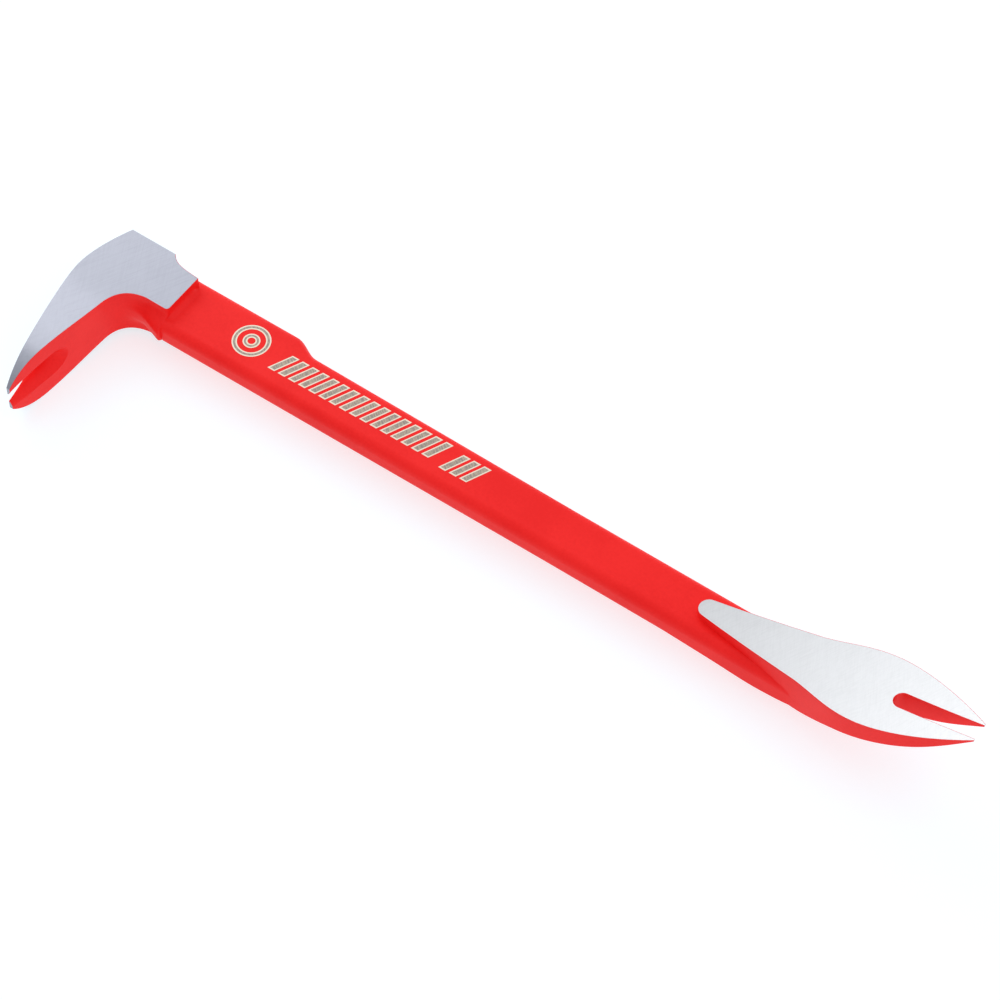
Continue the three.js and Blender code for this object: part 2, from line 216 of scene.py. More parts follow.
@dataclass
class Head:
    """Head, strike face, shoulder and hooked claw: an outline from above with a leaf-shaped side."""
    back: float = -27.2
    back_furthest: float = -5.5  # y where the back stands furthest out
    back_pulls: tuple[float, float] = (9.0, 5.0)
    back_tip_pull: tuple[float, float] = (-2.6, 15.0)
    back_strike_pull: tuple[float, float] = (-2.0, -4.2)
    strike: float = 10.6
    strike_end: float = -22.9
    notch: float = -9.3
    notch_floor: float = 7.77
    notch_pulls: tuple[float, float] = (-7.44, -4.65)
    notch_sag: float = 0.33
    notch_rows: int = 14
    neck: float = -4.5
    neck_length: float = 8.0
    corner: float = 1.0  # rounding between the neck and the shoulder
    corner_pull: float = 0.4
    tip: tuple[float, float] = (-18.6, -44.3)
    tip_thickness: float = 1.0
    throat: tuple[float, float] = (-14.7, -12.5)
    throat_pull: tuple[float, float] = (0.5, 4.8)
    neck_pull: tuple[float, float] = (-4.8, -0.6)
    flank: float = 6.9
    leaf_from: float = -9.0  # y where the flat flanks end
    leaf_pulls: tuple[float, float, float, float] = (-17.0, -24.0, -37.0, -41.2)
    widest: float = -32.5  # y of the leaf's widest place
    belly: float = 8.6
    tip_half: float = 3.95
    tip_pull: float = 3.3
    slot_closed: float = -23.7
    slot_taper: float = 0.045
    slot_pinch: float = 0.5
    slot_half: float = 3.5
    slot_bow: float = 0.22
    bulb: float = 5.2  # length of the slot's round end
    bulb_half: float = 4.1
    bulb_pulls: tuple[float, float] = (2.5, 2.6)
    slot_rows: int = 40
    bulge: float = 4.2
    bulge_ease: float = 1.15
    bulge_from: float = -13.5
    bulge_round: float = 0.6
    bulge_foot: float = 1.0
    bulge_top: float = 5.2
    depth_cols: int = 16
    side_cols: int = 14

    def back_curve(self) -> np.ndarray:
        """The back from the tip to the strike face, as closely spaced points.

        Returns:
            Points as x and y, 799 of them.
        """
        share = np.linspace(0, 1, 400)
        furthest = (self.back, self.back_furthest)
        down, up = self.back_pulls
        low = bezier(furthest, (self.back, self.back_furthest - down),
                     np.add(self.tip, self.back_tip_pull), self.tip, share)[::-1]
        corner = (self.strike_end, self.strike)
        high = bezier(corner, np.add(corner, self.back_strike_pull),
                      (self.back, self.back_furthest + up), furthest, share)[::-1]
        return chain(low[:-1], high)

    def half_width(self, y: np.ndarray) -> np.ndarray:
        """Half the head's thickness at y: flat flanks, then a leaf that swells and closes in.

        Args:
            y: values of Y.

        Returns:
            Half the thickness at each.
        """
        share = np.linspace(0, 1, 300)
        leave, swell, hold, close = self.leaf_pulls
        middle = (self.widest, self.belly)
        leaf = chain(
            bezier((self.leaf_from, self.flank), (leave, self.flank), (swell, self.belly), middle, share),
            bezier(middle, (hold, self.belly), (close, self.tip_half + self.tip_pull),
                   (self.tip[1], self.tip_half), share))[::-1]
        return np.interp(y, leaf[:, 0], leaf[:, 1])

    def slot_outline(self, depth: float) -> np.ndarray:
        """Half the slot at the inner face, from its mouth to its round closed end, grown by depth.

        Args:
            depth: mm under the coat's skin.

        Returns:
            Points as y and z, evenly spaced along the outline.
        """
        closed, bulb = self.slot_closed, self.slot_closed - self.bulb
        share = crowded(240)
        round_end = bezier((closed, 0), (closed, self.bulb_pulls[0]),
                           (bulb + self.bulb_pulls[1], self.bulb_half),
                           (bulb, self.bulb_half), 1 - share)
        mouth = line((self.tip[1], self.slot_half), (bulb, self.bulb_half), even(120))
        mouth[:, 1] += self.slot_bow * np.sin(math.pi * even(120))
        curve = inset(chain(mouth, round_end), depth)
        curve[0, 0], curve[-1, 1] = self.tip[1], 0
        return at_lengths(curve, lengths(curve)[-1] * np.linspace(0, 1, self.slot_rows))

    def slot_edge(self, outline: np.ndarray, face: np.ndarray) -> np.ndarray:
        """Where the slot meets a face: each outline point slides along its line to the face's x.

        Args:
            outline: the slot at the inner face, as y and z.
            face: the face from above, as x and y in rising y.

        Returns:
            The edge's x, y and z.
        """
        y = outline[:, 0]
        for _ in range(12):
            x = np.interp(y, face[:, 1], face[:, 0])
            scale = 1 - self.slot_taper * (self.throat[0] - x)
            y = self.tip[1] + (outline[:, 0] - self.tip[1]) * scale
        return np.stack([x, y, outline[:, 1] * scale], axis=1)

    def rails(self, depth: float) -> tuple[np.ndarray, np.ndarray, np.ndarray, np.ndarray]:
        """The inner and outer rails of the head's side faces, and the slot's edges.

        Args:
            depth: mm under the coat's skin.

        Returns:
            The inner and the outer rail as x and y, and the slot's edge on each as x, y and z.
        """
        tip_in = (self.tip[0] + self.tip_thickness, self.tip[1])
        face = inset(line(tip_in, self.throat, np.linspace(0, 1, 60)), depth)
        face[0, 1] = self.tip[1]
        outline = self.slot_outline(depth)
        near = self.slot_edge(outline, face)
        far = self.slot_edge(outline, self.back_curve()) * [1, 1, self.slot_pinch]
        neck_from = (self.throat[0] + self.neck_length, self.neck)
        bend = inset(chain(
            bezier(self.throat, np.add(self.throat, self.throat_pull),
                   np.add(neck_from, self.neck_pull), neck_from, even(24)),
            line(neck_from, (-self.corner, self.neck), even(6)),
            bezier((-self.corner, self.neck), (-self.corner_pull, self.neck),
                   (0, self.neck + self.corner_pull), (0, self.neck + self.corner),
                   np.linspace(0, 1, 8))), depth)
        bend[-1] = (-depth, self.neck + self.corner)
        inner = chain(near[:-1, :2], line(near[-1, :2], bend[0], even(13)), bend)
        back = self.back_curve()
        run = lengths(back)
        slot_end = np.interp(far[-1, 1], back[:, 1], run)
        up_back = at_lengths(back, slot_end + (run[-1] - slot_end) * even(27))
        sag = self.notch_floor + self.notch_sag
        hollow = bezier((self.notch, self.strike), (self.notch_pulls[0], sag),
                        (self.notch_pulls[1], sag), (0, self.notch_floor),
                        np.linspace(0, 1, self.notch_rows))
        along = tangents(hollow)
        cut = hollow + depth * np.stack([along[:, 1], -along[:, 0]], axis=1)
        cut[0] += along[0] * (self.strike - cut[0, 1]) / along[0, 1]
        cut[-1] += along[-1] * (-depth - cut[-1, 0]) / along[-1, 0]
        strike = line((self.strike_end, self.strike), cut[0], even(10))
        outer = chain(far[:-1, :2], up_back, strike, cut)
        return inner, outer, near, far

    def swelling(self, x: np.ndarray, z: np.ndarray, depth: float) -> np.ndarray:
        """How far the neck bulges out low down, to meet the shank's side.

        Eased in x from nothing to the full bulge, cut off by a quarter round at the
        shoulder; eased in z from the full bulge near the mid-plane to nothing higher up.

        Args:
            x, z: places on the neck.
            depth: mm under the coat's skin.

        Returns:
            The bulge at each place, in mm.
        """
        run = np.clip((x - self.bulge_from) / (-self.bulge_round - self.bulge_from), 0, 1)
        end = np.clip((x + self.bulge_round) / (self.bulge_round - depth), 0, 1)
        up = np.clip((self.bulge_top - z) / (self.bulge_top - self.bulge_foot), 0, 1)
        return self.bulge * run ** self.bulge_ease * np.sqrt(1 - end ** 2) * eased(up)

    def surfaces(self, depth: float) -> dict[str, np.ndarray]:
        """Every upper-half patch of the head, its coated faces at the given depth.

        Args:
            depth: mm under the coat's skin.

        Returns:
            Grids of points by the name of the face.
        """
        inner, outer, near, far = self.rails(depth)
        rise = np.linspace(0, 1, self.side_cols)
        across = np.linspace(0, 1, self.depth_cols)

        def wall(rail: np.ndarray, slot: np.ndarray | None = None) -> np.ndarray:
            """The face under a rail: z from the slot's edge, or the mid-plane, up to the side face."""
            low = np.zeros(len(rail))
            if slot is not None:
                low[:len(slot)] = slot[:, 2]
            high = self.half_width(rail[:, 1])
            return between(np.column_stack([rail, low]), np.column_stack([rail, high]), rise)

        plan = between(inner, outer, across)
        side = np.concatenate([plan, self.half_width(plan[..., 1])[..., None]], axis=2)
        notch = len(outer) - self.notch_rows
        throat = wall(inner, near)
        throat[..., 1] -= self.swelling(throat[..., 0], throat[..., 2], depth)
        shoulder = line(inner[-1], outer[-1], across)
        slot_wall = between(near, far, across)
        dish = 1 - (1 - across) ** 2 - across
        slot_wall[..., 2] += (far - near)[:, None, 2] * dish
        tip_face = between(slot_wall[0], side[0], rise)
        return {
            "inner": throat, "back": wall(outer[:notch + 1], far),
            "notch": wall(outer[notch:]), "shoulder": wall(shoulder), "side": side,
            "slot": slot_wall, "tip": tip_face,
        }

    def build(self) -> tuple[bpy.types.Object, bpy.types.Object]:
        """Makes the head's steel and its coat.

        Returns:
            The steel piece and the coat piece.
        """
        steel = self.surfaces(Depth.STEEL.value)
        skin, under = self.surfaces(Depth.SKIN.value), self.surfaces(Depth.UNDERSIDE.value)
        coated = ("inner", "notch", "shoulder", "slot")
        borders = [("inner", "first"), ("inner", "right"), ("notch", "first"), ("notch", "right"),
                   ("shoulder", "right"), ("slot", "first"), ("slot", "right")]
        shell = [face[key] for face in (skin, under) for key in coated]
        shell += [rim(skin[key], under[key], border) for key, border in borders]
        return (piece_from("head_steel", mirrored(steel.values(), 2)),
                piece_from("head_coat", mirrored(shell, 2)))


# ---- shank and forked claw

@dataclass
class Bar:
    """Shank, swell, ground pad and forked claw, as faces ruled between rails along X."""
    root: float = -9.0
    root_neck: float = 3.5
    fillet: float = 1.9
    head_half: float = 7.6
    shank_half: float = 6.9
    parallel_from: float = 115.0
    thickness_half: float = 3.7
    arris: float = 2.5
    swell: float = 2.8
    swell_end: float = 29.0
    swell_step: float = 8.0
    nose: float = 153.5
    nose_radius: float = 2.6
    nose_turn: float = 0.56  # where the nose's arc ends, in half turns
    pad_rise: float = 2.0
    pad_slope: float = 0.07
    pad_bend: float = 350.0
    join: float = 183.0
    widest: float = 200.5
    belly: float = 10.35
    tip: float = 226.8
    tip_half: float = 2.6
    leaf_pulls: tuple[tuple[float, float], ...] = ((6.0, 1.2), (-7.0, 0.0), (8.0, 0.0), (-8.5, 4.3))
    slot_closed: float = 205.3
    slot_half: float = 2.1
    crown: float = 0.28
    cols: int = 30
    crown_start: float = 0.35  # share of the crown at the join
    crown_run: float = 14.0
    heel_fade: tuple[float, float] = (176.0, 24.0)
    heel_lift: float = 9.0
    heel_slope: tuple[float, float] = (191.0, 1.5)
    heel_soft: float = 0.5
    heel_half: float = 10.3
    underside_lead: float = 26.0
    underside_start: tuple[float, float, float] = (-30.0, -4.0, 8.0)
    underside_low: tuple[float, ...] = (-1.2, -2.7, -3.5, -4.45, -3.35)
    underside_bend: tuple[float, float] = (174.0, 184.0)
    fork_middle: float = 216.6
    fork_thickness: tuple[float, float, float] = (8.8, 5.6, 0.2)
    fillet_edges: tuple[float, float] = (5.0, 7.2)
    fillet_fade: float = 2.4
    swell_dip: float = 0.3
    least: float = 0.02  # least thickness at the tips
    rows: tuple[int, ...] = (6, 9, 16, 28, 60, 16, 40, 40, 16, 44)
    wall_cols: int = 9
    side_cols: int = 5

    def ground(self, x: np.ndarray) -> np.ndarray:
        """Height of the ground face: a straight rise at the nose that bends steadily upwards."""
        run = x - self.nose
        return self.thickness_half + self.pad_rise + self.pad_slope * run + run ** 2 / (2 * self.pad_bend)

    def stations(self, depth: float) -> tuple[np.ndarray, dict[str, int]]:
        """Values of X for every row, crowded at the nose and at the slot's closed end.

        Args:
            depth: mm under the coat's skin.

        Returns:
            The stations, and the index of each named one.
        """
        nose, closed = self.nose + depth, self.slot_closed - depth
        full = self.slot_closed + self.slot_half
        stepped = self.swell_end + self.swell_step
        root, foot, swell, step, plain, round_, pad, flare, end, tines = self.rows

        def opening(count: int) -> np.ndarray:
            """Shares from 0 to 1 that crowd towards 0: one less the cosine of a quarter turn."""
            return (1 - np.cos(np.linspace(0, math.pi / 2, count)))[:-1]

        parts = [
            np.linspace(self.root, 0, root)[:-1],
            self.fillet * opening(foot),
            np.linspace(self.fillet, self.swell_end, swell)[:-1],
            np.linspace(self.swell_end, stepped, step)[:-1],
            np.linspace(stepped, nose, plain)[:-1],
            nose + self.nose_radius * opening(round_),
            np.linspace(nose + self.nose_radius, self.join, pad)[:-1],
            np.linspace(self.join, closed, flare)[:-1],
            closed + (full - closed) * opening(end),
            np.linspace(full, self.tip, tines)]
        marks = np.append(0, np.cumsum([len(part) for part in parts]))
        names = dict(zip(("nose", "join", "slot"), marks[[5, 7, 8]]))
        return np.concatenate(parts), names

    def plan_half(self, x: np.ndarray, depth: float) -> np.ndarray:
        """Half the ground face's width at x: round nose, straight flank, leaf and tip.

        Args:
            x: values of X.
            depth: mm under the coat's skin.

        Returns:
            Half the width at each, and 0 before the nose.
        """
        centre = self.nose + self.nose_radius
        leave, middle = (self.join, self.shank_half), (self.widest, self.belly)
        end = (self.tip, self.tip_half)
        turn = np.linspace(math.pi, self.nose_turn * math.pi, 200)
        arc = np.stack([centre + self.nose_radius * np.cos(turn), self.nose_radius * np.sin(turn)], 1)
        share = np.linspace(0, 1, 200)
        outline = chain(
            arc[:-1], line(arc[-1], leave, share[:-1]),
            bezier(leave, np.add(leave, self.leaf_pulls[0]), np.add(middle, self.leaf_pulls[1]),
                   middle, share[:-1]),
            bezier(middle, np.add(middle, self.leaf_pulls[2]), np.add(end, self.leaf_pulls[3]),
                   end, share))
        moved = inset(outline, -depth)
        return np.interp(x, moved[:, 0], np.maximum(moved[:, 1], 0)) * (x > self.nose + depth)

    def slot_width(self, x: np.ndarray, depth: float) -> np.ndarray:
        """Half the slot's width at x: a half circle's chord at the closed end, then straight.

        Args:
            x: values of X.
            depth: mm under the coat's skin.

        Returns:
            Half the width at each, and 0 before the closed end.
        """
        radius = self.slot_half + depth
        centre = self.slot_closed + self.slot_half
        drop = np.maximum(centre - x, 0)
        return np.sqrt(np.maximum(radius ** 2 - drop ** 2, 0))

    def underside(self, x: np.ndarray) -> np.ndarray:
        """Height of the fork's underside along its middle: a smooth curve through set points.

        Args:
            x: values of X.

        Returns:
            Z at each, from a cubic through the points and their slopes.
        """
        fork = (self.widest, self.fork_middle, self.tip + 1)
        start = (self.nose + offset for offset in self.underside_start)
        at = np.array([*start, *self.underside_bend, *fork])
        low = np.array([*self.underside_low,
                        *(self.ground(a) - t for a, t in zip(fork, self.fork_thickness))])
        slope = np.gradient(low, at)
        seg = np.clip(np.searchsorted(at, x) - 1, 0, len(at) - 2)
        width = at[seg + 1] - at[seg]
        s = np.clip((x - at[seg]) / width, 0, 1)
        return ((2 * s ** 3 - 3 * s ** 2 + 1) * low[seg] + (s ** 3 - 2 * s ** 2 + s) * width * slope[seg]
                + (3 * s ** 2 - 2 * s ** 3) * low[seg + 1] + (s ** 3 - s ** 2) * width * slope[seg + 1])

    def side_half(self, x: np.ndarray, far: bool, depth: float) -> np.ndarray:
        """Half the shank's width on one side at x, with the swell on the far side.

        Args:
            x: values of X.
            far: True for the side that has the swell.
            depth: mm under the coat's skin.

        Returns:
            Half the width at each.
        """
        taper = np.clip(x / self.parallel_from, 0, 1)
        half = self.head_half + (self.shank_half - self.head_half) * taper
        into = np.clip(x / self.root, 0, 1)
        if far:
            share = np.clip((x - self.swell_end) / self.swell_step, 0, 1)
            half = half + self.swell * (1 + np.cos(math.pi * share)) / 2
            half = half - self.swell_dip * np.clip(1 - np.abs(x) / self.swell_end, 0, 1)
        else:
            half = half - self.root_neck * into
        return np.where(x < self.join, half - depth, self.plan_half(x, depth))

    def shank_height(self, y: np.ndarray, half: np.ndarray, depth: float) -> np.ndarray:
        """Height of the shank's top at y: flat, then a quarter round that ends at the side.

        Args:
            y: distance from the middle.
            half: half the width there.
            depth: mm under the coat's skin.

        Returns:
            Z at each place.
        """
        radius = self.arris - depth
        over = np.clip(y - (half - radius), 0, radius)
        return self.thickness_half - self.arris + np.sqrt(radius ** 2 - over ** 2)

    def bottom_height(self, x: np.ndarray, y: np.ndarray, half: np.ndarray, depth: float) -> np.ndarray:
        """Height of the bottom: the shank's or the crowned fork's, whichever is lower, blended.

        Args:
            x, y: places, with y counted from the middle.
            half: half the width there.
            depth: mm under the coat's skin.

        Returns:
            Z at each place.
        """
        fade = np.clip((x - self.heel_fade[0]) / self.heel_fade[1], 0, 1)
        steep = np.maximum(x - self.heel_slope[0], 0)
        shank = -self.shank_height(y, np.minimum(half, self.heel_half), depth)
        shank = shank + self.heel_lift * eased(fade) + self.heel_slope[1] * steep
        middle = self.underside(x)
        late = eased(np.clip((x - self.join) / self.crown_run, 0, 1))
        crown = self.crown * (self.crown_start + (1 - self.crown_start) * late)
        share = np.clip(y / np.maximum(half, 1), 0, 1.05)
        fork = middle + depth + crown * (self.ground(x) - middle) * share ** 4
        fork = np.where(x < self.nose - self.underside_lead, self.heel_lift, fork)
        soft = self.heel_soft
        gap = np.clip(0.5 + 0.5 * (fork - shank) / soft, 0, 1)
        return fork + (shank - fork) * gap - soft * gap * (1 - gap)

    def half_surfaces(self, far: bool, depth: float) -> dict[str, np.ndarray]:
        """The patches of one side, with y counted outwards from the middle.

        Args:
            far: True for the side that has the swell.
            depth: mm under the coat's skin.

        Returns:
            Patches by name, with rows along X.
        """
        x, mark = self.stations(depth)
        nose, join, slot = mark["nose"], mark["join"], mark["slot"]
        half = self.side_half(x, far, depth)
        plan = self.plan_half(x, depth)
        plan[:nose + 1] = 0
        plan[join:] = half[join:]
        mouth = self.slot_width(x, depth)
        mouth[:slot + 1] = 0
        level = self.ground(x)

        def sheet(rows: slice, y: np.ndarray, z: np.ndarray) -> np.ndarray:
            """Points from each row's x and its columns of y and z."""
            wide = np.broadcast_to(x[rows][:, None], y.shape)
            return np.stack([wide, y, z], axis=2)

        def ruled(rows: slice, y: np.ndarray, top: np.ndarray, low: np.ndarray, cols: int) -> np.ndarray:
            """An upright wall at y, from top down to low."""
            z = top[:, None] + (low - top)[:, None] * np.linspace(0, 1, cols)
            return sheet(rows, np.broadcast_to(y[:, None], z.shape), z)

        shank = np.s_[:join + 1]
        fork = np.s_[nose:]
        turn = np.arcsin(np.clip(plan[shank] / half[shank], 0, 1))
        angle = turn[:, None] + (math.pi / 2 - turn)[:, None] * np.linspace(0, 1, self.cols)
        top_y = half[shank][:, None] * np.sin(angle)
        top_z = self.shank_height(top_y, half[shank][:, None], depth)
        away = self.fillet - np.clip(x[shank], 0, self.fillet)
        fillet = self.fillet - np.sqrt(self.fillet ** 2 - away ** 2)
        window = np.clip((self.fillet_edges[far] - top_y) / self.fillet_fade, 0, 1)
        ahead = x[shank][:, None] > -1e-9
        top_z = top_z + fillet[:, None] * eased(window) * ahead

        low_turn = np.arcsin(np.clip(mouth / half, 0, 1))
        low_angle = low_turn[:, None] + (math.pi / 2 - low_turn)[:, None] * np.linspace(0, 1, self.cols)
        low_y = half[:, None] * np.sin(low_angle)
        low_z = self.bottom_height(x[:, None], low_y, half[:, None], depth)
        low_z = np.minimum(low_z, level[:, None] - self.least)
        edge = low_z[:, -1]

        split = np.empty(len(x))
        foot = self.shank_height(plan[shank], half[shank], depth)
        foot[nose:join + 1] = top_z[nose:, 0]
        split[shank] = self.thickness_half - self.arris
        share = (split[join] - edge[join]) / (level[join] - edge[join])
        split[join:] = edge[join:] + share * (level[join:] - edge[join:])
        pad_low = np.where(np.arange(len(x)) < join, np.append(foot, np.zeros(len(x) - join - 1)), split)

        face_share = np.linspace(0, 1, self.cols)
        face_y = mouth[fork][:, None] + (plan[fork] - mouth[fork])[:, None] * face_share
        face_z = np.broadcast_to(level[fork][:, None], face_y.shape)
        slots = np.s_[slot:]
        drop = np.concatenate([(1 - share) * np.linspace(0, 1, self.wall_cols)[:-1],
                               (1 - share) + share * np.linspace(0, 1, self.side_cols)])
        slot_z = level[slots][:, None] + (low_z[slots, 0] - level[slots])[:, None] * drop
        slot_wall = sheet(slots, np.broadcast_to(mouth[slots][:, None], slot_z.shape), slot_z)
        top = sheet(shank, top_y, top_z)
        bottom = sheet(np.s_[:], low_y, low_z)
        face = sheet(fork, face_y, face_z)
        return {
            "top": top,
            "pad": ruled(fork, plan[fork], level[fork], pad_low[fork], self.wall_cols),
            "side": ruled(np.s_[:], half, split, edge, self.side_cols),
            "bottom": bottom,
            "slot": slot_wall, "face": face, "tip": between(face[-1], bottom[-1], drop),
            "root": between(top[0], bottom[0], np.linspace(0, 1, self.side_cols)),
        }

    def surfaces(self, depth: float) -> dict[str, np.ndarray]:
        """Both sides' patches, each named with near or far.

        Args:
            depth: mm under the coat's skin.

        Returns:
            Grids of points by the name of the face and its side.
        """
        named = {}
        for far in (False, True):
            flip = np.array([1, 1 if far else -1, 1])
            for key, patch in self.half_surfaces(far, depth).items():
                named[f"{key}_{'far' if far else 'near'}"] = patch * flip
        return named

    def build(self) -> tuple[bpy.types.Object, bpy.types.Object]:
        """Makes the steel and the coat of the shank and fork.

        Returns:
            The steel piece and the coat piece.
        """
        steel = self.surfaces(Depth.STEEL.value)
        skin, under = self.surfaces(Depth.SKIN.value), self.surfaces(Depth.UNDERSIDE.value)
        coated = [key for key in skin if key.split("_")[0] not in ("face", "tip", "root")]
        borders = {"top": ["first"], "side": ["first", "last"], "bottom": ["first", "last"],
                   "pad": ["left", "last"], "slot": ["left", "last"]}
        shell = [face[key] for face in (skin, under) for key in coated]
        shell += [rim(skin[key], under[key], border)
                  for key in coated for border in borders[key.split("_")[0]]]
        return (piece_from("bar_steel", list(steel.values())),
                piece_from("bar_coat", shell))


# ---- shader building

class Shader:
    """A material on one Principled shader, with one way to add nodes."""

    def __init__(self, name: str) -> None:
        """Makes an empty material with its output and its Principled shader.

        Args:
            name: the material's name.
        """
        self.material = bpy.data.materials.new(name)
        self.material.use_nodes = True
        self.tree = self.material.node_tree
        self.tree.nodes.clear()
        self.surface = self.tree.nodes.new("ShaderNodeBsdfPrincipled")
        output = self.tree.nodes.new("ShaderNodeOutputMaterial")
        self.tree.links.new(self.surface.outputs["BSDF"], output.inputs["Surface"])
        self.place = self.node("ShaderNodeTexCoord").out("Object")

    @classmethod
    def for_world(cls, world: bpy.types.World) -> "Shader":
        """The same tools for a world, whose background takes the Principled shader's place.

        Args:
            world: a world that uses nodes.

        Returns:
            The shader, whose surface is the world's background.
        """
        shader = cls.__new__(cls)
        shader.tree = world.node_tree
        shader.surface = world.node_tree.nodes["Background"]
        shader.place = shader.node("ShaderNodeTexCoord").out("Generated")
        return shader

    def node(self, kind: str, settings: dict[str, Any] | None = None,
             inputs: dict[str | int, Any] | None = None) -> "Node":
        """Adds a node: its settings first, then the values or links of its sockets.

        Args:
            kind: the node's type.
            settings: attributes of the node, set first.
            inputs: values or wires by the socket's name or number.

        Returns:
            The node.
        """
        made = self.tree.nodes.new(kind)
        for key, value in (settings or {}).items():
            setattr(made, key, value)
        for key, value in (inputs or {}).items():
            self.plug(made.inputs[key], value)
        return Node(self, made)

    def plug(self, socket: bpy.types.NodeSocket, value: Any) -> None:
        """Links a wire to a socket, or sets the socket's own value."""
        if isinstance(value, Wire):
            self.tree.links.new(value.socket, socket)
        else:
            socket.default_value = value

    def set(self, **values: Any) -> None:
        """Sets or links the Principled shader's sockets; an underscore stands for a space."""
        for key, value in values.items():
            self.plug(self.surface.inputs[key.replace("_", " ")], value)

    def grain(self, turn: float, stretch: float, scale: float, detail: float = 2.0,
              shift: float = 0.0) -> "Wire":
        """Noise drawn out into streaks along one direction across the tool.

        Args:
            turn: the streaks' direction in degrees from X, about Z.
            stretch: how many times longer than wide the streaks are.
            scale: streaks in a metre across them.
            detail: the noise's octaves.
            shift: moves the pattern, so that two layers differ.

        Returns:
            The noise, from 0 to 1.
        """
        turned = self.node("ShaderNodeMapping", {"vector_type": "TEXTURE"}, {
            "Vector": self.place, "Location": (shift, shift, 0.0),
            "Rotation": (0.0, 0.0, math.radians(turn)), "Scale": (stretch, 1.0, 1.0)}).out(0)
        return self.node("ShaderNodeTexNoise", None, {
            "Vector": turned, "Scale": scale, "Detail": detail, "Roughness": 0.6}).out(0)

    def noise(self, scale: float, detail: float = 3.0) -> "Wire":
        """Even noise from 0 to 1, with this many features in a metre."""
        return self.node("ShaderNodeTexNoise", None, {
            "Vector": self.place, "Scale": scale, "Detail": detail, "Roughness": 0.55}).out(0)

    def mix(self, share: "Wire", first: Any, second: Any) -> "Wire":
        """A colour between two, by share.

        Args:
            share: 0 for the first colour, 1 for the second.
            first, second: colours or wires.

        Returns:
            The colour.
        """
        node = self.node("ShaderNodeMix", {"data_type": "RGBA"}, {"Factor": share})
        self.plug(node.made.inputs[6], first)
        self.plug(node.made.inputs[7], second)
        return Wire(self, node.made.outputs[2])

    def bump(self, height: "Wire", distance: float) -> "Wire":
        """A normal from a height in 0 to 1 that spans this many metres."""
        return self.node("ShaderNodeBump", None, {
            "Height": height, "Distance": distance, "Strength": 1.0}).out(0)


class Node:
    """A node that has been added, for reading its outputs."""

    def __init__(self, shader: Shader, made: bpy.types.Node) -> None:
        """Keeps both."""
        self.shader, self.made = shader, made

    def out(self, key: str | int) -> "Wire":
        """The output of this name or number."""
        return Wire(self.shader, self.made.outputs[key])


class Wire:
    """A shader value: arithmetic on it adds the Math nodes that work it out."""

    def __init__(self, shader: Shader, socket: bpy.types.NodeSocket) -> None:
        """Keeps both."""
        self.shader, self.socket = shader, socket

    def _math(self, operation: str, first: Any, second: Any, third: Any = 0.0) -> "Wire":
        """The result of one Math node."""
        return self.shader.node("ShaderNodeMath", {"operation": operation},
                                {0: first, 1: second, 2: third}).out(0)

    def __add__(self, other: Any) -> "Wire":
        """self + other."""
        return self._math("ADD", self, other)

    __radd__ = __add__

    def __sub__(self, other: Any) -> "Wire":
        """self - other."""
        return self._math("SUBTRACT", self, other)

    def __rsub__(self, other: Any) -> "Wire":
        """other - self."""
        return self._math("SUBTRACT", other, self)

    def __mul__(self, other: Any) -> "Wire":
        """self * other."""
        return self._math("MULTIPLY", self, other)

    __rmul__ = __mul__

    def within(self, low: float, high: float) -> "Wire":
        """0 below low, 1 above high, and smooth between."""
        return self.shader.node("ShaderNodeMapRange", {"interpolation_type": "SMOOTHSTEP"}, {
            "Value": self, "From Min": low, "From Max": high}).out(0)


# ---- finishes

@dataclass(frozen=True)
class GroundSteel:
    """Bare forged steel off a grinding belt: streaks both ways, a few deep, on a bright satin metal."""
    label: str = "ground_steel"
    bright: tuple[float, float, float, float] = (0.60, 0.605, 0.61, 1.0)
    dull: tuple[float, float, float, float] = (0.48, 0.485, 0.49, 1.0)
    turn: float = 62.0
    cross: float = 118.0
    roughness: float = 0.34

    def make(self) -> bpy.types.Material:
        """The material: streaks shade the colour and roughness, and cut the normal.

        Returns:
            The material.
        """
        shader = Shader(self.label)
        coarse = shader.grain(self.turn, 26.0, 2600.0)
        crossing = shader.grain(self.cross, 22.0, 3000.0, shift=0.31)
        fine = shader.grain(self.turn + 4, 30.0, 9000.0, shift=0.12)
        patches = shader.noise(140.0)
        deep = coarse.within(0.60, 0.72) * 0.6 + crossing.within(0.64, 0.74) * 0.4
        tone = coarse * 0.35 + crossing * 0.25 + fine * 0.2 + patches * 0.2
        shade = 0.25 + tone.within(0.30, 0.66) * 0.6 - deep * 0.3
        shader.set(
            Base_Color=shader.mix(shade, self.dull, self.bright), Metallic=1.0,
            Roughness=self.roughness + (fine - 0.5) * 0.16 + deep * 0.12 + (patches - 0.5) * 0.08,
            Normal=shader.bump(coarse * 0.5 + crossing * 0.35 + fine * 0.25 - deep * 0.5, 6e-6))
        return shader.material


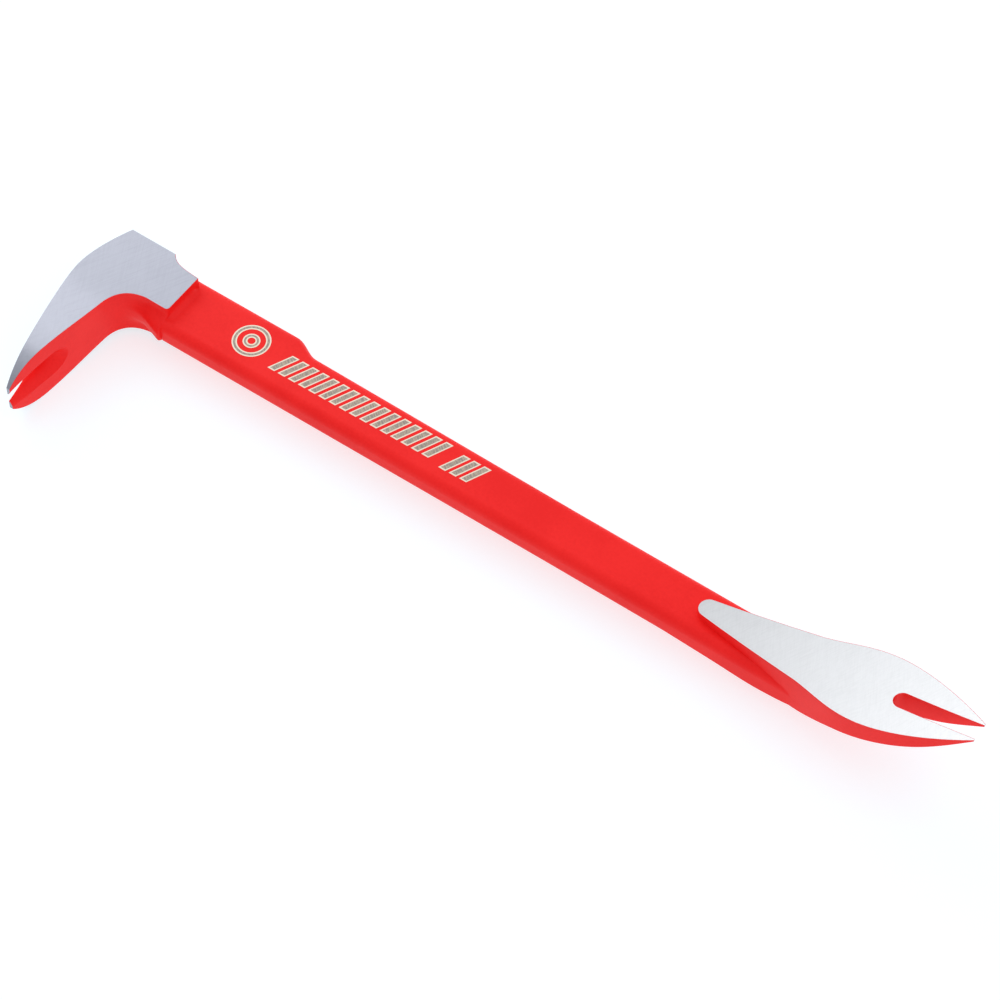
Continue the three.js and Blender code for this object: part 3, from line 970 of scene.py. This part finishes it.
@dataclass(frozen=True)
class BakedCoat:
    """Satin red baked coat: nearly even colour, a faint peel and a few dull spots."""
    red: tuple[float, float, float, float] = (0.93, 0.016, 0.014, 1.0)
    deep: tuple[float, float, float, float] = (0.86, 0.010, 0.009, 1.0)
    roughness: float = 0.45
    gloss: float = 0.16

    def make(self) -> bpy.types.Material:
        """The material: slow drifts of colour, and a fine peel in roughness and normal.

        Returns:
            The material.
        """
        shader = Shader("red_coat")
        drift = shader.noise(45.0)
        peel = shader.noise(1500.0, 2.0)
        speck = shader.noise(5200.0, 2.0)
        shader.set(
            Base_Color=shader.mix((drift * 0.7 + peel * 0.3).within(0.38, 0.66), self.red, self.deep),
            Roughness=self.roughness + (drift - 0.5) * 0.10 + (speck - 0.5) * 0.10,
            Specular_IOR_Level=self.gloss, Normal=shader.bump(peel * 0.8 + speck * 0.2, 1.6e-5))
        return shader.material


@dataclass(frozen=True)
class EtchedMark:
    """Steel laid bare through the coat in hatched strokes, with a pale outline."""
    pale: tuple[float, float, float, float] = (0.80, 0.70, 0.56, 1.0)
    tan: tuple[float, float, float, float] = (0.47, 0.38, 0.28, 1.0)
    grey: tuple[float, float, float, float] = (0.27, 0.23, 0.20, 1.0)

    def make(self) -> bpy.types.Material:
        """The material: hatching inside the outline that the rim attribute marks.

        Returns:
            The material.
        """
        shader = Shader("etched_mark")
        hatch = shader.grain(-38.0, 9.0, 3400.0)
        grime = shader.noise(2400.0)
        edge = shader.node("ShaderNodeAttribute", {"attribute_name": "rim"}).out("Fac")
        inside = shader.mix((hatch * 0.7 + grime * 0.3).within(0.42, 0.60), self.grey, self.tan)
        shader.set(Base_Color=shader.mix(edge.within(0.35, 0.8), inside, self.pale),
                   Metallic=0.35, Roughness=0.5 + (hatch - 0.5) * 0.2,
                   Normal=shader.bump(hatch, 8e-6))
        return shader.material


# ---- etched marks

@dataclass
class Marks:
    """Plain decoration on the shank's top: two rings and a row of slanted bars."""
    ring_centre: tuple[float, float] = (21.0, 1.8)
    rings: tuple[tuple[float, float], ...] = ((4.9, 3.6), (2.2, 1.0))
    row_start: tuple[float, float] = (30.6, 0.8)
    row_end: tuple[float, float] = (76.4, 1.5)
    last_start: tuple[float, float] = (82.0, 0.7)
    last_end: tuple[float, float] = (88.0, 0.9)
    bar_height: float = 6.4
    bar_width: float = 2.05
    slant: float = 1.5
    line_width: float = 0.34
    top: float = 3.7
    proud: float = 0.035
    sunk: float = 0.03
    floor_line: float = 0.01  # how fast the outline gives way to the middle
    ring_points: int = 73
    counts: tuple[int, int] = (16, 3)

    @property
    def outline(self) -> np.ndarray:
        """1 at the stations on the outline and 0 at those inside it."""
        return np.array([1, 1, 0, 0, 1, 1.0])

    def bars(self) -> list[np.ndarray]:
        """Corners of every bar: four points each, anticlockwise from its lower left.

        Returns:
            An array of four x and y corners for each bar.
        """
        many, few = (np.linspace(0, 1, count) for count in self.counts)
        starts = chain(line(self.row_start, self.row_end, many),
                       line(self.last_start, self.last_end, few))
        half = self.bar_height / 2
        corners = np.array([[-self.slant, -half], [self.bar_width - self.slant, -half],
                            [self.bar_width + self.slant, half], [self.slant, half]])
        return list(starts[:, None, :] + corners[None])

    def slab(self, across: np.ndarray, edge: np.ndarray) -> list[np.ndarray]:
        """A closed thin plate from its plan grid; edge is 1 on the outline and 0 inside it.

        Args:
            across: the plan as a grid of x and y.
            edge: the outline's value at each point.

        Returns:
            The top and the bottom of the plate.
        """
        low, high = self.top - self.sunk, self.top + self.proud
        flat = np.ones(across.shape[:2])
        lid, floor = (np.dstack([across, flat * z, edge]) for z in (high, low))
        return [lid, floor]

    def bar_patches(self, corners: np.ndarray) -> list[np.ndarray]:
        """A bar: a bilinear grid between its corners with an inner line all round.

        Args:
            corners: four x and y corners, anticlockwise.

        Returns:
            The plate's top, bottom and walls.
        """
        wide = self.line_width / self.bar_width
        tall = self.line_width / self.bar_height
        u, v = (np.array([0, edge, edge + self.floor_line, 1 - edge - self.floor_line, 1 - edge, 1])
                for edge in (wide, tall))
        a, b, c, d = corners
        grid = ((1 - u)[:, None, None] * (1 - v)[None, :, None] * a
                + u[:, None, None] * (1 - v)[None, :, None] * b
                + u[:, None, None] * v[None, :, None] * c + (1 - u)[:, None, None] * v[None, :, None] * d)
        lid, floor = self.slab(grid, np.maximum(self.outline[:, None], self.outline[None, :]))
        walls = [np.stack([lid[0], floor[0]]), np.stack([lid[-1], floor[-1]]),
                 np.stack([lid[:, 0], floor[:, 0]]), np.stack([lid[:, -1], floor[:, -1]])]
        return [lid, floor, *walls]

    def ring_patches(self, outer: float, inner: float) -> list[np.ndarray]:
        """A flat ring: radius by angle, with an inner line along both edges.

        Args:
            outer, inner: the ring's radii.

        Returns:
            The plate's top, bottom and walls.
        """
        angle = np.linspace(0, 2 * math.pi, self.ring_points)
        step = self.line_width
        ramp = 2 * self.floor_line
        radius = np.array([outer, outer - step, outer - step - ramp,
                           inner + step + ramp, inner + step, inner])[:, None]
        edge = np.broadcast_to(self.outline[:, None], (len(radius), self.ring_points))
        grid = np.stack([radius * np.cos(angle), radius * np.sin(angle)], 2) + self.ring_centre
        lid, floor = self.slab(grid, edge)
        return [lid, floor, np.stack([lid[0], floor[0]]), np.stack([lid[-1], floor[-1]])]

    def build(self) -> bpy.types.Object:
        """Makes the marks as one piece.

        Returns:
            The piece.
        """
        patches = [patch for ring in self.rings for patch in self.ring_patches(*ring)]
        patches += [patch for corners in self.bars() for patch in self.bar_patches(corners)]
        return piece_from("etched_marks", patches)


# ---- studio

@dataclass(frozen=True)
class Studio:
    """Camera, white floor and soft lights."""
    target: tuple[float, float, float] = (-0.00169, 0.01505, 0.01229)
    distance: float = 0.7929
    azimuth: float = 34.2
    elevation: float = 55.2
    roll: float = 1.0
    lens: float = 120.0
    side_level: float = 0.98
    top_level: float = 0.95
    dimming: float = 0.3
    dim_way: tuple[float, float, float] = (-0.25, -0.93, 0.27)

    def camera(self) -> None:
        """A camera that looks at the target from its azimuth and elevation, turned by its roll."""
        a, e, r = (math.radians(v) for v in (self.azimuth, self.elevation, self.roll))
        back = Vector((math.sin(a) * math.cos(e), -math.cos(a) * math.cos(e), math.sin(e)))
        right = Vector((math.cos(a), math.sin(a), 0.0))
        up = back.cross(right)
        turned = math.cos(r) * right + math.sin(r) * up
        upward = math.cos(r) * up - math.sin(r) * right
        data = bpy.data.cameras.new("camera")
        data.lens, data.sensor_width, data.clip_start = self.lens, 36.0, 0.01
        camera = bpy.data.objects.new("camera", data)
        basis = Matrix((turned, upward, back)).transposed().to_4x4()
        camera.matrix_world = Matrix.Translation(Vector(self.target) + back * self.distance) @ basis
        bpy.context.scene.collection.objects.link(camera)
        bpy.context.scene.camera = camera

    def floor(self) -> None:
        """A wide white floor at the object's lowest point."""
        shader = Shader("floor_white")
        shader.set(Base_Color=(0.34, 0.44, 0.47, 1.0), Roughness=0.9, Specular_IOR_Level=0.1,
                   Emission_Color=(1.0, 0.96, 0.97, 1.0), Emission_Strength=0.68)
        mesh = bpy.data.meshes.new("floor")
        half = 3.0
        mesh.from_pydata([(-half, -half, 0), (half, -half, 0), (half, half, 0), (-half, half, 0)],
                         [], [(0, 1, 2, 3)])
        mesh.materials.append(shader.material)
        floor = bpy.data.objects.new("floor", mesh)
        floor.location.z = CAD_BOX[0][2] - 0.0002
        bpy.context.scene.collection.objects.link(floor)

    def lamp(self, name: str, place: Sequence[float], size: float, power: float) -> None:
        """A square soft light at place, in metres, that looks at the object.

        Args:
            name: the lamp's name.
            place: its middle, in metres.
            size: the side of its square, in metres.
            power: watts.
        """
        data = bpy.data.lights.new(name, "AREA")
        data.shape, data.size, data.energy = "SQUARE", size, power
        lamp = bpy.data.objects.new(name, data)
        lamp.location = place
        aim = Vector(self.target) - Vector(place)
        lamp.rotation_euler = aim.to_track_quat("-Z", "Y").to_euler()
        bpy.context.scene.collection.objects.link(lamp)

    def surround(self) -> None:
        """A pale surround: brighter towards the sides than overhead, and dimmer low down in front."""
        world = bpy.data.worlds.new("surround")
        world.use_nodes = True
        shader = Shader.for_world(world)
        way = shader.place
        height = shader.node("ShaderNodeSeparateXYZ", None, {0: way}).out("Z")
        front = shader.node("ShaderNodeVectorMath", {"operation": "DOT_PRODUCT"},
                            {0: way, 1: self.dim_way}).out("Value")
        level = self.side_level - height * (self.side_level - self.top_level)
        level = level * (1.0 - front.within(0.55, 0.97) * self.dimming)
        shader.plug(shader.surface.inputs["Strength"], level)
        shader.surface.inputs["Color"].default_value = (0.94, 0.96, 1.0, 1.0)
        bpy.context.scene.world = world

    def lights(self) -> None:
        """One large soft light from the left and behind."""
        self.lamp("left_behind", (-1.2, 0.65, 0.8), 1.2, 7.0)
        bpy.context.scene.view_settings.view_transform = "Standard"


def dress(piece: bpy.types.Object, finish: bpy.types.Material, slot: Slot, *nodes: str) -> None:
    """Gives a piece its finish, hangs it under the root body, and hides the CAD nodes it stands for.

    Args:
        piece: the object.
        finish: its material.
        slot: the record's material slot; not used.
        nodes: the CAD nodes it stands for, if any.
    """
    piece.data.materials.clear()
    piece.data.materials.append(finish)
    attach(piece, "root")
    if nodes:
        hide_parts(*nodes)
    log.info("%s wears %s", piece.name, finish.name)


def main() -> None:
    """Builds the studio and every piece, in order."""
    studio = Studio()
    studio.camera()
    studio.floor()
    studio.surround()
    studio.lights()
    # The head's flanks wear a darker, bluer copy of the same ground steel as the fork's pad: painted
    # shade for the dimmer reflections the head's faces catch.
    flank = GroundSteel("flank_steel_painted_shade", (0.375, 0.385, 0.435, 1.0), (0.285, 0.292, 0.335, 1.0)).make()
    pad, coat, etched = GroundSteel("pad_steel").make(), BakedCoat().make(), EtchedMark().make()
    head_steel, head_coat = Head().build()
    bar_steel, bar_coat = Bar().build()
    dress(head_steel, flank, Slot.STEEL, "forged_bar")
    dress(bar_steel, pad, Slot.STEEL, "forged_bar")
    dress(head_coat, coat, Slot.COAT, "colour_coat")
    dress(bar_coat, coat, Slot.COAT, "colour_coat")
    dress(Marks().build(), etched, Slot.STEEL)
    bpy.context.view_layer.update()


if __name__ == "__main__":
    logging.basicConfig(level=logging.INFO, format="%(name)s %(message)s")
    main()
